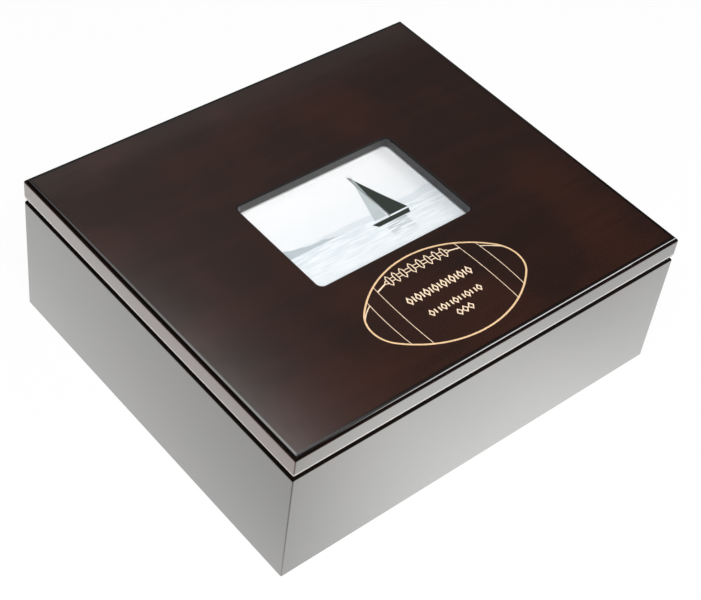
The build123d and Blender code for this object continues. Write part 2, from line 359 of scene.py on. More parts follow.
def dull_edge(tree):
    """Painted shade: a very dark finish without polish where lid and case face each other across
    the gap, standing in for the shade in it.
    """
    grain = noise(tree, 700.0, 3.0, 0.6)
    return dict(
        Base_Color=grain.mix((0.0035, 0.0025, 0.0022), (0.0060, 0.0042, 0.0036)),
        Roughness=grain.fade(0.3, 0.7, 0.22, 0.34), IOR=1.25)


def fibreboard(tree):
    """Brown fibreboard with a fine grain along X."""
    fibres = noise(tree, (90.0, 900.0, 900.0), 5.0, 0.65)
    return dict(
        Base_Color=fibres.fade(0.32, 0.68).mix(paint("board", 0.6), paint("board", 1.5)),
        Roughness=fibres.fade(0.3, 0.7, 0.62, 0.8), Normal=fibres.bump(0.05 * MM))


def greyboard(tree):
    """Pulp card with darker flecks."""
    pulp = noise(tree, 900.0, 4.0, 0.7)
    return dict(
        Base_Color=pulp.fade(0.35, 0.6).mix(paint("card", 0.72), paint("card")),
        Roughness=0.9, Normal=pulp.bump(0.03 * MM))


def velvet(tree):
    """Short dark pile: brushed patches, a pile bump and a soft sheen."""
    pile = noise(tree, 2600.0, 2.0, 0.6)
    brushed = noise(tree, (26.0, 41.6, 26.0), 3.0, 0.55, 0.5)
    tone = pile.fade(0.3, 0.7, 0.35, 1.0) * brushed.fade(0.35, 0.68, 0.40, 1.0)
    return dict(
        Base_Color=tone.mix(paint("velvet"), paint("velvet", 2.6)), Roughness=1.0,
        Specular_IOR_Level=0.1, Sheen_Weight=0.35, Sheen_Roughness=0.35,
        Sheen_Tint=(0.55, 0.50, 0.50), Normal=pile.bump(0.18 * MM))


def felt(tree):
    """Pressed felt: matted fibres in two sizes."""
    fibres = noise(tree, 1500.0, 6.0, 0.75)
    clumps = noise(tree, 160.0, 3.0, 0.6)
    tone = fibres.fade(0.35, 0.65) * clumps.fade(0.3, 0.7, 0.4, 1.0)
    return dict(
        Base_Color=tone.mix(paint("felt"), paint("felt", 2.8)), Roughness=1.0,
        Specular_IOR_Level=0.1, Sheen_Weight=0.2, Sheen_Roughness=0.6,
        Normal=fibres.bump(0.22 * MM))


def brass(tree):
    """Lacquered brass, lightly brushed along X, a little browner in patches."""
    brushing = noise(tree, (180.0, 5200.0, 5200.0), 3.0, 0.6)
    patches = noise(tree, 240.0, 3.0, 0.6).fade(0.42, 0.72, 0.0, 0.6)
    return dict(
        Base_Color=patches.mix(paint("brass"), paint("brass", 0.62)), Metallic=1.0,
        Roughness=brushing.fade(0.3, 0.7, 0.24, 0.38), Normal=brushing.bump(0.006 * MM))


def rubber(tree):
    """Moulded rubber with a fine matt skin."""
    skin = noise(tree, 2400.0)
    return dict(
        Base_Color=skin.mix(paint("rubber"), paint("rubber", 1.9)), Roughness=0.55,
        Normal=skin.bump(0.03 * MM))


def glass(tree):
    """Thin picture glass: nearly clear, with a mirror on both faces and faint wipe marks."""
    wipes = noise(tree, (30.0, 90.0, 30.0), 4.0, 0.5, 0.6)
    return dict(
        Base_Color=wipes.mix((0.010, 0.014, 0.013), (0.020, 0.024, 0.023)),
        Roughness=0.03, IOR=1.5, Alpha=0.06, Coat_Weight=1.0, Coat_IOR=4.0)


def gold_fill(tree, name):
    """Paint of that colour rubbed into the engraving, uneven from grain to grain."""
    grains = noise(tree, 1400.0, 2.0, 0.6)
    return dict(
        Base_Color=grains.fade(0.35, 0.6).mix(paint(name, 0.80), paint(name)),
        Roughness=0.5, Normal=grains.bump(0.02 * MM))


def within(*distances):
    """1 inside a shape and 0 outside, from its signed distances in mm to each side."""
    nearest = distances[0]
    for distance in distances[1:]:
        nearest = nearest.at_most(distance)
    return nearest.fade(-0.10, 0.10)


def lake_print(tree):
    """A pale lake under mist, two low shores and a small dark sailing boat, laid out in mm
    from the middle of the print."""
    x, y, _ = place(tree, (1000.0,) * 3).axes()
    shore_y, mast_x, mast_top = -6.0, 20.0, 29.0
    deck_y, keel_y, glint_y = -10.5, -13.5, -30.5

    def shape(*sides):
        """1 inside straight sides. A side is its normal inwards, a point on it, and how far it
        bows outwards for each square of y."""
        distances = []
        for x_share, y_share, at_x, at_y, *bow in sides:
            distance = x * x_share + y * y_share
            if bow:
                distance = distance + y * y * bow[0]
            distances.append(distance - (x_share * at_x + y_share * at_y))
        return within(*distances)

    ripples = noise(tree, (60.0, 620.0, 1.0), 4.0, 0.6)
    waves = ripples.fade(0.36, 0.62) * y.fade(-40.0, shore_y, 0.25, 1.0)
    lake = waves.mix((0.92, 0.96, 0.98), paint("water"))
    mist = y.fade(shore_y, 30.0).mix((0.90, 0.93, 0.95), paint("sky"))
    picture = shape((0.0, -1.0, 0.0, shore_y)).mix(mist, lake)

    above = y - shore_y
    far_shore = noise(tree, (26.0, 0.0, 0.0)) * 13.0 + (shore_y - 2.2) - y
    near_shore = noise(tree, (45.0, 7.0, 0.0), 4.0) * 9.0 + (x + 24.0) * -0.16 + (shore_y - 2.6) - y
    main_sail = shape(
        (1.0, 0.0, mast_x + 0.5, 0.0), (0.0, 1.0, 0.0, deck_y + 1.6),
        (-0.935, -0.355, mast_x, mast_top + 0.5, 0.0012))
    jib = shape(
        (-1.0, 0.10, mast_x - 0.6, 0.0), (0.0, 1.0, 0.0, deck_y + 2.2),
        (0.95, -0.31, mast_x, mast_top - 5.0))
    hull = shape(
        (0.0, -1.0, 0.0, deck_y + 0.4), (0.0, 1.0, 0.0, keel_y),
        (0.80, 0.60, mast_x - 11.5, keel_y), (-0.93, 0.37, mast_x + 13.0, keel_y))
    mast = shape(
        (1.0, 0.0, mast_x - 0.25, 0.0), (-1.0, 0.0, mast_x + 0.25, 0.0),
        (0.0, -1.0, 0.0, mast_top + 1.5), (0.0, 1.0, 0.0, deck_y))
    glint = shape(
        (1.0, 0.0, mast_x - 8.0, 0.0), (-1.0, 0.0, mast_x + 9.0, 0.0),
        (0.0, -1.0, 0.0, deck_y - 3.4), (0.0, 1.0, 0.0, glint_y))
    glint = glint * ripples.fade(0.42, 0.56) * y.fade(glint_y, keel_y, 0.0, 0.55)
    shade_of_the_reveal = x.fade(46.0, 58.0, 0.0, 0.16)
    for cover, colour_over in (
            (within(far_shore, above) * 0.75, (0.74, 0.80, 0.84)),
            (within(near_shore, above) * 0.9, (0.50, 0.57, 0.60)),
            (main_sail, paint("shape")), (jib * 0.85, (0.50, 0.56, 0.57)),
            (hull.at_least(mast), paint("shape")), (glint, (0.30, 0.34, 0.34)),
            (shade_of_the_reveal, (0.30, 0.34, 0.38))):
        picture = cover.mix(picture, colour_over)
    return dict(Base_Color=picture, Roughness=0.35, Specular_IOR_Level=0.3)


# ---------------------------------------------------------------- surfaces

def grid_quads(rows, columns, close_rows, close_columns):
    """Four corners of every cell of a grid of points; a closed side joins its last to its first."""
    row = np.arange(rows if close_rows else rows - 1)[:, None]
    column = np.arange(columns if close_columns else columns - 1)[None, :]
    next_row, next_column = (row + 1) % rows, (column + 1) % columns
    corners = [row * columns + column, row * columns + next_column,
               next_row * columns + next_column, next_row * columns + column]
    return np.stack([corner.ravel() for corner in corners], 1)


def capped_quads(rows, columns):
    """Faces of a closed section of that many rows carried along, with a face at each end."""
    ends = [list(range(0, rows * columns, columns)),
            list(range(columns - 1, rows * columns, columns))[::-1]]
    return grid_quads(rows, columns, True, False).tolist() + ends


def quarter_turns(steps):
    """Angles from 0 to a quarter turn."""
    return np.linspace(0.0, QUARTER_TURN, steps + 1)


def quarter(steps, inset, z, reach, rise, level_first=False):
    """Quarter of an ellipse as [inset, z]: from (inset, z + rise), where it runs upright, to
    (inset + reach, z), where it runs level, or from the level end to the upright one."""
    turn = quarter_turns(steps)
    off_upright, off_level = 1 - np.cos(turn), 1 - np.sin(turn)
    if level_first:
        off_upright, off_level = off_level, off_upright
    return np.column_stack([inset + reach * off_upright, z + rise * off_level])


def loop_columns(steps, stations=(), cut=()):
    """Columns of a loop round a rounded rectangle, anticlockwise from the middle of its front
    left corner and back to it: [x side, y side, angle of the outward normal, station, cut].
    A station is a fixed x on the front and back sides; cut marks it as cut away at the back."""
    stations, cut = np.asarray(stations, float), np.asarray(cut, float)

    def arc(x_side, y_side, first, last):
        angle = np.radians(np.linspace(first, last, round(steps * (last - first) / 90.0) + 1))
        whole = np.ones_like(angle)
        return np.column_stack([x_side * whole, y_side * whole, angle, np.nan * whole, 0 * whole])

    def run(y_side, places, flags):
        whole = np.ones_like(places)
        angle = y_side * QUARTER_TURN * whole
        return np.column_stack([whole, y_side * whole, angle, places, flags])

    return np.vstack([
        arc(-1, -1, 225, 270), run(-1, stations, 0 * cut), arc(1, -1, 270, 360),
        arc(1, 1, 0, 90), run(1, stations[::-1], cut[::-1]), arc(-1, 1, 90, 180),
        arc(-1, -1, 180, 225)])


def loop_points(loops, columns, waist=0.0):
    """Points of loops [half length, half depth, corner radius, z] at the columns. A corner's
    point is its centre plus the radius along the column's normal. A station keeps its x, and
    draws in on loops whose straight side is no longer than the stations and 5 % more. A waist
    pulls the sides in by waist (1 - t^2), with t from -1 to 1 along the side."""
    half_x, half_y, corner, z = (np.asarray(loops, float)[:, i, None] for i in range(4))
    x_side, y_side, angle, station = (columns[None, :, i] for i in range(4))
    on_station = np.isfinite(station)
    widest = 1.05 * np.abs(station[on_station]).max() if on_station.any() else 1.0
    straight = half_x - corner
    x = x_side * straight + corner * np.cos(angle)
    x = np.where(on_station, station * np.minimum(1.0, straight / widest), x)
    y = y_side * (half_y - corner) + corner * np.sin(angle)
    if waist:
        reach_x, reach_y = np.maximum(half_x, 1e-9), np.maximum(half_y, 1e-9)
        pull_y = waist * (1 - np.minimum(1.0, np.abs(x) / reach_x) ** 2) * (y / reach_y)
        pull_x = waist * (1 - np.minimum(1.0, np.abs(y) / reach_y) ** 2) * (x / reach_x)
        x, y = x - pull_x, y - pull_y
    return np.stack([x, y, np.broadcast_to(z, x.shape)], -1)


def inset_loops(half_x, half_y, corner, profile):
    """Loops of one rounded rectangle drawn in by the profile's first number, at its second."""
    inset, z = np.asarray(profile, float).T
    return np.column_stack([half_x - inset, half_y - inset, np.maximum(corner - inset, 0.0), z])


def cut_mortises(points, rows, columns, limit, z):
    """Limits the rows to a z, as np.minimum or np.maximum does, at the columns marked as cut."""
    area = np.ix_(rows, np.flatnonzero(columns[:, 4] > 0.5))
    cut = points[area]
    cut[..., 2] = limit(cut[..., 2], z)
    points[area] = cut


def shell(loops, columns, closed=False, waist=0.0):
    """Points and faces of loops joined one to the next, and if closed the last to the first."""
    points = loop_points(loops, columns, waist)
    return points, grid_quads(len(loops), points.shape[1], closed, True).tolist()


def add_object(name, data):
    """A new object in the scene."""
    made = bpy.data.objects.new(name, data)
    bpy.context.scene.collection.objects.link(made)
    return made


def merge_doubles(mesh, distance, outwards=False):
    """Merges points closer than the distance, and turns a closed mesh's faces outwards."""
    shape = bmesh.new()
    shape.from_mesh(mesh)
    bmesh.ops.remove_doubles(shape, verts=shape.verts, dist=distance)
    if outwards:
        bmesh.ops.recalc_face_normals(shape, faces=shape.faces)
    shape.to_mesh(mesh)
    shape.free()


def add_piece(name, points, faces, finishes, body, slot, stands_for=(), face_finish=None,
              edge_tone=None, crease=30.0):
    """A closed mesh as a piece of the object: its doubles merged, its faces turned outwards,
    shaded smooth below the crease angle, with flat faces kept flat by the weighted normals."""
    mesh = bpy.data.meshes.new(name)
    mesh.from_pydata(np.reshape(points, (-1, 3)).tolist(), [], faces)
    for material in finishes:
        mesh.materials.append(material)
    if face_finish is not None:
        mesh.polygons.foreach_set("material_index", np.asarray(face_finish, np.int32))
    # Per point: 1 is painted shade, -1 is a painted highlight, read by the lacquer's colour.
    if edge_tone is not None:
        tone = mesh.attributes.new("edge_tone", "FLOAT", "POINT")
        tone.data.foreach_set("value", np.asarray(edge_tone, np.float32).ravel())
    merge_doubles(mesh, 0.0005 * MM, outwards=True)
    mesh.shade_smooth()
    mesh.set_sharp_from_angle(angle=math.radians(crease))
    piece = add_object(name, mesh)
    even = piece.modifiers.new("even_shading", "WEIGHTED_NORMAL")
    even.keep_sharp = True
    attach(piece, body)
    if stands_for:
        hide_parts(*stands_for)
    return piece


def dress(material, *nodes):
    """Gives CAD nodes a finish in their own slots."""
    for name in nodes:
        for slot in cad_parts[name].material_slots:
            slot.material = material


# ---------------------------------------------------------------- case

def hinge_stations(case):
    """Fixed x places of the hinge mortises' ends, each twice: outside and inside the cut."""
    places, cut = [], []
    for low, high in HINGE_BOXES:
        start, end = low.x - case.mortise_play, high.x + case.mortise_play
        places += [start, start, end, end]
        cut += [0, 1, 1, 0]
    return places, cut


def wall_profile(case):
    """Section of a wall, as inset from the outside and height: rounded foot, face, rounded
    brow, flat rim, broken inner edge, inside face, rabbet. Also which of its strips take the
    painted gap shade, from a quarter of the brow on, and the rows that a hinge mortise cuts."""
    steps, tread, brow_radius, small = (
        case.edge_steps, case.foot_radius, case.edge_radius, case.rim_radius)
    foot_z, rim_z, floor_z = WALL_LOW.z, WALL_HIGH.z, PAD_LOW.z
    thickness = WALL_HIGH.y - WALL_LOW.y
    foot = quarter(steps, 0.0, foot_z, tread, tread, level_first=True)
    brow = quarter(steps, 0.0, rim_z, brow_radius, -brow_radius)
    profile = np.vstack([
        foot, brow, [(case.mortise_reach, rim_z)] * 2,
        quarter(steps, thickness, rim_z, -small, -small, level_first=True),
        [(thickness, floor_z), (case.rabbet, floor_z), (case.rabbet, foot_z)]])
    first_brow, last_brow = len(foot), len(foot) + len(brow) - 1
    row = np.arange(len(profile))
    gap_shaded = (row >= first_brow + steps // 4) & (row < last_brow)
    return profile, gap_shaded, np.arange(first_brow, last_brow + 2)


def make_walls():
    """Four boards: the section carried round the case, each from mitre to mitre. The brow's
    depth below the rim grows with the square of the cosine of the outward normal's angle, so it
    is taller over the left and right boards."""
    case = settings("case")
    profile, gap_shaded, cut_rows = wall_profile(case)
    columns = loop_columns(case.edge_steps, *hinge_stations(case))
    points = loop_points(inset_loops(LID_HIGH.x, LID_HIGH.y, case.corner_radius, profile), columns)
    brow, rim_z = cut_rows[:-1], WALL_HIGH.z
    taller = 1 + (case.side_drop / case.edge_radius - 1) * np.cos(columns[:, 2]) ** 2
    points[brow, :, 2] = rim_z - (rim_z - points[brow, :, 2]) * taller
    cut_mortises(points, cut_rows, columns, np.minimum, rim_z - case.mortise_depth)

    corner_angle = np.degrees(columns[:, 2]) % 90.0
    mitres = np.flatnonzero(np.isclose(corner_angle, 45.0) & np.isnan(columns[:, 3]))
    along_x = finish("lacquer_x", lacquer, 0.0)
    along_y = finish("lacquer_y", lacquer, QUARTER_TURN)
    boards = [("front_wall", along_x), ("right_wall", along_y), ("back_wall", along_x),
              ("left_wall", along_y)]
    for (name, material), first, last in zip(boards, mitres[:-1], mitres[1:]):
        board = points[:, first:last + 1]
        rows, run = board.shape[:2]
        # The brow's strips that face the gap take the painted gap shade.
        add_piece(name + "_lacquered", board, capped_quads(rows, run),
                  [material, finish("dull_edge", dull_edge)], "base", "lacquered_wood", [name],
                  face_finish=np.append(np.repeat(gap_shaded, run - 1), (0, 0)))


def make_underside():
    """The felt under the box, a flat sheet with rounded edges closed at the middle of both its
    faces. The bottom panel and the bumpers keep their own shapes."""
    edge_steps, corner_steps, edge, corner = 6, 8, 0.35 * MM, 1.0 * MM
    low, high = FELT_LOW.z, FELT_HIGH.z
    half_x, half_y = FELT_HIGH.x, FELT_HIGH.y
    section = np.vstack([quarter(edge_steps, 0.0, low, edge, edge, level_first=True),
                         quarter(edge_steps, 0.0, high, edge, -edge)])
    loops = np.vstack([
        (0, 0, 0, low), inset_loops(half_x, half_y, corner, section), (0, 0, 0, high)])
    sheet = add_piece("underside_felt_sheet", *shell(loops, loop_columns(corner_steps)[:-1]),
                      [finish("pressed_felt", felt)], "base", "felt", ["underside_felt"])
    dress(finish("fibreboard", fibreboard), "bottom_panel")
    dress(finish("bumper_skin", rubber), "rim_bumpers")


# ---------------------------------------------------------------- lid

def crease_mitres(mesh, first):
    """Creases the lid's mesh where its rounded edges meet at the corners: along the lines on
    which the inset from the left or right equals that from the front or back, from first on."""
    places = np.empty(3 * len(mesh.vertices))
    mesh.vertices.foreach_get("co", places)
    inset = (LID_HIGH.x, LID_HIGH.y) - np.abs(places.reshape(-1, 3)[:, :2])
    on_mitre = (np.abs(inset[:, 0] - inset[:, 1]) < 1e-6) & (inset[:, 0] > first)
    ends = np.empty(2 * len(mesh.edges), np.int32)
    mesh.edges.foreach_get("vertices", ends)
    creased = np.empty(len(mesh.edges), bool)
    sharp = mesh.attributes["sharp_edge"].data
    sharp.foreach_get("value", creased)
    sharp.foreach_set("value", creased | on_mitre[ends.reshape(-1, 2)].all(1))


def recess(lid):
    """Half sizes and corner radii of the glass's pocket and of the ledge for the buttons."""
    pocket = (GLASS_HIGH.x + lid.pocket_play, GLASS_HIGH.y + lid.pocket_play, lid.pocket_corner)
    return pocket, (pocket[0] + lid.ledge_width, pocket[1] + lid.ledge_width, lid.ledge_corner)


def make_lid():
    """The lid: one section carried round, from the window's arris over the top, the rounded
    edge, the underside and the stepped pocket, and back up to the window. Painted shade darkens
    the edge round the top from its level side down, as 1.6 times the cosine of the turn, at most 1.
    The foot has a painted pale highlight over its first third, and the painted gap shade from there
    on."""
    case, lid = settings("case"), settings("lid")
    steps, arris = case.edge_steps, lid.window_arris
    low, high, lip_z = LID_LOW.z, LID_HIGH.z, GLASS_HIGH.z
    top_margin = lid.edge_reach + 0.6 * MM
    window = (lid.window_length / 2, lid.window_width / 2, lid.window_corner)
    window_edge = quarter(steps, 0.0, high, -arris, -arris)
    brow = quarter(steps, 0.0, high, lid.edge_reach, -lid.edge_drop, level_first=True)
    foot = quarter(steps, 0.0, low, lid.foot_reach, lid.foot_height)
    outside = np.vstack([(top_margin, high), brow, foot, [(case.mortise_reach, low)] * 2])
    pocket, ledge = recess(lid)
    ledge_z = low + lid.ledge_depth
    loops = np.vstack([
        (*window, lip_z), inset_loops(*window, window_edge),
        inset_loops(LID_HIGH.x, LID_HIGH.y, case.corner_radius, outside),
        (*ledge, low), (*ledge, ledge_z), (*pocket, ledge_z), (*pocket, lip_z)])
    columns = loop_columns(steps, *hinge_stations(case))[:-1]
    points = loop_points(loops, columns)
    points[:1 + len(window_edge), :, :2] += tuple(lid.window_centre)
    first_foot = 2 + len(window_edge) + len(brow)
    end_foot, painted_highlight = first_foot + len(foot), first_foot + steps // 3
    cut_mortises(points, np.arange(first_foot, end_foot + 1), columns, np.maximum,
                 low + case.mortise_depth)

    count = points.shape[1]
    faces = grid_quads(len(loops), count, True, True)
    row = faces[:, 0] // count
    inside = (row < len(window_edge)) | (row >= end_foot + 2)
    # Foot faces past the painted highlight take the painted gap shade.
    gap_shaded = (row >= painted_highlight) & (row < end_foot - 1)
    # Painted shade down the top edge (1), and a painted highlight on the foot's first third (-1).
    tone = np.zeros(len(loops))
    tone[first_foot - len(brow):first_foot] = np.minimum(1.0, 1.6 * np.cos(quarter_turns(steps)))
    tone[first_foot + 1:painted_highlight] = -1.0
    finishes = [finish("lacquer_lid", lacquer, 0.0, True), finish("black_reveal", black_reveal),
                finish("dull_edge", dull_edge)]
    piece = add_piece("lid_panel_lacquered", points, faces.tolist(), finishes, "lid",
                      "lacquered_wood", ["lid_panel"], face_finish=inside + 2 * gap_shaded,
                      edge_tone=np.repeat(tone, count))
    crease_mitres(piece.data, case.corner_radius)


# ---------------------------------------------------------------- engraving

def stroke(path, width, top, rise, closed=False):
    """Points and faces of a filled line: a crowned strip carried along a path in the plane.
    Each point is the path's point plus its mitred normal times the way across. At a sharp
    turn the mitre is held to 2.2 times the line's width."""
    path = np.asarray(path, float)
    ahead = np.roll(path, -1, 0) - path
    if not closed:
        ahead[-1] = ahead[-2]
    ahead /= np.linalg.norm(ahead, axis=1)[:, None]
    behind = np.roll(ahead, 1, 0)
    if not closed:
        behind[0] = ahead[0]
    side = np.stack([ahead[:, 1], -ahead[:, 0]], 1)
    last_side = np.stack([behind[:, 1], -behind[:, 0]], 1)
    mitre = (side + last_side) / np.maximum(1 + (side * last_side).sum(1), 0.4)[:, None]
    across = np.array([-1.0, -1.0, -0.62, 0.0, 0.62, 1.0, 1.0]) * width / 2
    height = np.array([-0.8, 0.0, 0.75, 1.0, 0.75, 0.0, -0.8]) * rise + top
    plan = path[:, None, :] + mitre[:, None, :] * across[None, :, None]
    z = np.broadcast_to(height, plan.shape[:2])
    points = np.concatenate([plan, z[..., None]], 2)
    rows, count = points.shape[:2]
    faces = grid_quads(rows, count, closed, True).tolist()
    if not closed:
        faces += [list(range(count)), list(range((rows - 1) * count, rows * count))[::-1]]
    return points.reshape(-1, 3), faces


def add_strokes(name, strokes, colour_name="pale_gold"):
    """One piece from many filled lines."""
    start, points, faces = 0, [], []
    for stroke_points, stroke_faces in strokes:
        points.append(stroke_points)
        faces += [[corner + start for corner in face] for face in stroke_faces]
        start += len(stroke_points)
    fill = finish(colour_name + "_fill", gold_fill, colour_name)
    return add_piece(name, np.vstack(points), faces, [fill], "lid", "brass", crease=60.0)


def bow(start, end, rise, steps=24):
    """A shallow arc: the chord plus 4 rise t (1 - t) to its left, t from 0 to 1."""
    start, end = np.asarray(start, float), np.asarray(end, float)
    t = np.linspace(0.0, 1.0, steps + 1)[:, None]
    chord = end - start
    left = np.array([-chord[1], chord[0]]) / np.linalg.norm(chord)
    return start + chord * t + left * 4 * rise * t * (1 - t)


def ball_sizes(figure):
    """In mm: half length a, half height b, radius r of the circles at the ball's tips, and
    radius R of its two long arcs, which the tips' circles touch from inside:
    R = ((a - r)^2 + b^2 - r^2) / 2 (b - r)."""
    a, b, tip = figure.half_length / MM, figure.half_height / MM, figure.tip_radius / MM
    return a, b, tip, ((a - tip) ** 2 + b**2 - tip**2) / (2 * (b - tip))


def droop(figure, x):
    """How far the ball hangs at x, in mm: nothing in its middle, and growing with x squared."""
    return figure.tip_droop / MM * (x * MM / figure.half_length) ** 2


def ball_outline(figure, steps=96):
    """A pointed oval in mm: two long arcs and the tips' circles, drooping at the tips."""
    a, b, tip, radius = ball_sizes(figure)
    touch = math.atan2(radius - b, a - tip)
    side = np.linspace(touch, HALF_TURN - touch, steps + 1)
    upper = np.stack([radius * np.cos(side), radius * np.sin(side) - (radius - b)], 1)
    end = np.linspace(HALF_TURN - touch, HALF_TURN + touch, steps // 4 + 1)[1:-1]
    left = np.stack([tip * np.cos(end) - (a - tip), tip * np.sin(end)], 1)
    half = np.vstack([upper, left])
    outline = np.vstack([half, -half])
    outline[:, 1] -= droop(figure, outline[:, 0])
    return outline


def make_figure():
    """Football figure, laid out in mm from the ball's middle: outline, two pairs of stripes,
    seams, lacing and plain marks."""
    figure = settings("figure")
    stripe, seam, stitch, rail_line, tail, bar = (
        figure.line_width * share for share in (0.58, 0.9, 0.86, 0.8, 1.3, 1.4))

    def draw(path, width, closed=False):
        """A filled line along a path in mm."""
        path = np.asarray(path) * MM + np.array(figure.centre)
        return stroke(path, width, LID_HIGH.z, figure.fill_height, closed)

    def on_outline(x, way):
        """The outline's upper or lower point at x."""
        _, b, _, radius = ball_sizes(figure)
        return x, way * (math.sqrt(radius**2 - x**2) - (radius - b)) - droop(figure, x)

    def lace_y(x):
        """Middle of the lacing: a gentle arch."""
        return 25.15 - 0.75 * ((x + 1.0) / 20.0) ** 2

    add_strokes("ball_outline", [draw(ball_outline(figure), figure.outline_width, True)], "gold")
    stripes = [draw(bow(on_outline(upper, 1), on_outline(lower, -1), rise), stripe)
               for upper, lower, rise in ((-43.1, -43.0, -0.9), (-32.6, -32.3, -0.9),
                                          (30.0, 31.3, 1.0), (41.1, 41.8, 1.0))]
    seams = [draw(bow(start, end, rise), seam)
             for start, end, rise in (((-43.6, 15.6), (-52.6, 8.8), -0.4),
                                      ((41.6, 16.7), (53.0, 8.4), 0.4))]
    add_strokes("ball_stripes", stripes + seams)

    stitches = [-21.5, -16.2, -10.6, -3.8, 2.3, 8.5, 14.3, 19.8]
    half_width, half_height, rail, bend = 1.2, 3.9, 1.2, 1.3
    ring = np.array([(0, 1), (0.9, 0.62), (1, 0.2), (1, -0.2), (0.9, -0.62), (0, -1),
                     (-0.9, -0.62), (-1, -0.2), (-1, 0.2), (-0.9, 0.62)])
    lacing = [draw(ring * (half_width, half_height) + (x, lace_y(x)), stitch, True)
              for x in stitches]
    for x, following in zip(stitches[:-1], stitches[1:]):
        first, last = x + half_width, following - half_width
        lacing += [draw([(first, lace_y(first) + way), (last, lace_y(last) + way)], rail_line)
                   for way in (-rail, rail)]
    for side, x, tip_x, end in ((-1, stitches[0], -25.4, (-32.5, 21.4)),
                                (1, stitches[-1], 23.8, (30.3, 22.1))):
        start = x + side * half_width
        y, bend_x, tip = lace_y(start), start + side * bend, (tip_x, lace_y(tip_x) - 0.3)
        loop = [(start, y + rail), (bend_x, y + rail * 0.9), tip, (bend_x, y - rail * 0.9),
                (start, y - rail)]
        lacing += [draw(loop, stitch), draw([tip, end], tail)]
    add_strokes("ball_lacing", lacing)

    marks = []
    for reach, count, every, y, half_bar, wide, tall, weight in (
            (22.4, 15, 2, 5.7, 2.3, 3.0, 5.4, 1.2), (18.0, 13, 3, -8.1, 1.7, 2.9, 4.4, 1.1),
            (4.2, 3, 1, -16.2, 0.0, 3.4, 4.4, 1.1)):
        lozenge = np.array([(0, tall), (wide, 0), (0, -tall), (-wide, 0)]) / 2
        for i, x in enumerate(np.linspace(-reach, reach, count)):
            if i % every:
                marks.append(draw([(x, y + half_bar), (x, y - half_bar)], bar))
            else:
                marks.append(draw(lozenge + (x, y), figure.line_width * weight, True))
    add_strokes("ball_marks", marks)


# ---------------------------------------------------------------- picture and buttons

def make_picture():
    """Print, glass, card and backing keep their own flat shapes and get their finishes."""
    dress(finish("lake_print", lake_print), "picture_print")
    dress(finish("picture_glass", glass), "window_glass")
    dress(finish("greyboard", greyboard), "backing_card")
    dress(finish("fibreboard", fibreboard), "backing_board")


def make_hardware():
    """Hinges, turn buttons and screws in brass."""
    dress(finish("brushed_brass", brass), *[
        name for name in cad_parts
        if name.startswith(("left_hinge", "right_hinge", "turn_button"))
        or name.endswith("_hinge_screws")])


# ---------------------------------------------------------------- linings

PAD_STEPS, PAD_STATIONS, CARD_STEPS = 8, 19, 6       # in a corner, along a side, in a fold


def pad_columns(half_x):
    """Columns for a pad, with stations along nine tenths of its front and back."""
    stations = np.linspace(-0.9, 0.9, PAD_STATIONS) * half_x
    return loop_columns(PAD_STEPS, stations, 0 * stations)[:-1]


def make_floor_pad():
    """Crowned floor pad: loops drawn in from its edge, rolled over at the sides, and rising
    to the middle as crown (1 - s^2), with s from 0 in the middle to 1 at the roll."""
    linings = settings("linings")
    roll, crown, corner = linings.roll, linings.crown, linings.pad_corner
    low, high = PAD_LOW.z, PAD_HIGH.z
    half_x, half_y = PAD_HIGH.x, PAD_HIGH.y
    edge_z = high - crown
    under_share, under_lift = 0.995, 0.3 * MM       # the flat underside stops short of the sides
    rings = 24
    s = np.linspace(1.0, 0.0, rings + 1)[1:]
    top = np.column_stack(
        [(half_x - roll) * s, (half_y - roll) * s, corner * s, edge_z + crown * (1 - s**2)])
    side = np.vstack([(0.0, low + under_lift), quarter(PAD_STEPS, 0.0, edge_z, roll, -roll)])
    loops = np.vstack([
        (0, 0, 0, low), (half_x * under_share, half_y * under_share, corner, low),
        inset_loops(half_x, half_y, corner, side), top])
    piece = add_piece(
        "floor_pad_velvet", *shell(loops, pad_columns(half_x), waist=linings.waist),
        [finish("velvet_pile", velvet)], "base", "velvet", ["floor_pad"])


def make_lid_pad():
    """Frame-shaped pad under the lid: flat against the wood, its lower face crowned between
    the outer edge and the opening: from 0.45 of its depth to all of it, with the square root of
    a half wave."""
    linings = settings("linings")
    low, high = LID_PAD_LOW.z, LID_PAD_HIGH.z
    edge_share, reveal, rings = 0.45, 1.0 * MM, 32
    outer = (LID_PAD_HIGH.x, LID_PAD_HIGH.y, linings.pad_corner)
    inner = tuple(size + reveal for size in recess(settings("lid"))[1])
    t = np.linspace(0.0, 1.0, rings + 1)[:, None]
    plan = np.array(outer) * (1 - t) + np.array(inner) * t
    wave = np.sin(HALF_TURN * t) ** 0.5
    depth = (high - low) * np.minimum(1.0, edge_share + (1 - edge_share) * wave)
    loops = np.vstack([(*outer, high), np.column_stack([plan, high - depth]), (*inner, high)])
    piece = add_piece(
        "lid_pad_velvet", *shell(loops, pad_columns(LID_PAD_HIGH.x), closed=True),
        [finish("velvet_pile", velvet)], "lid", "velvet", ["lid_pad"])


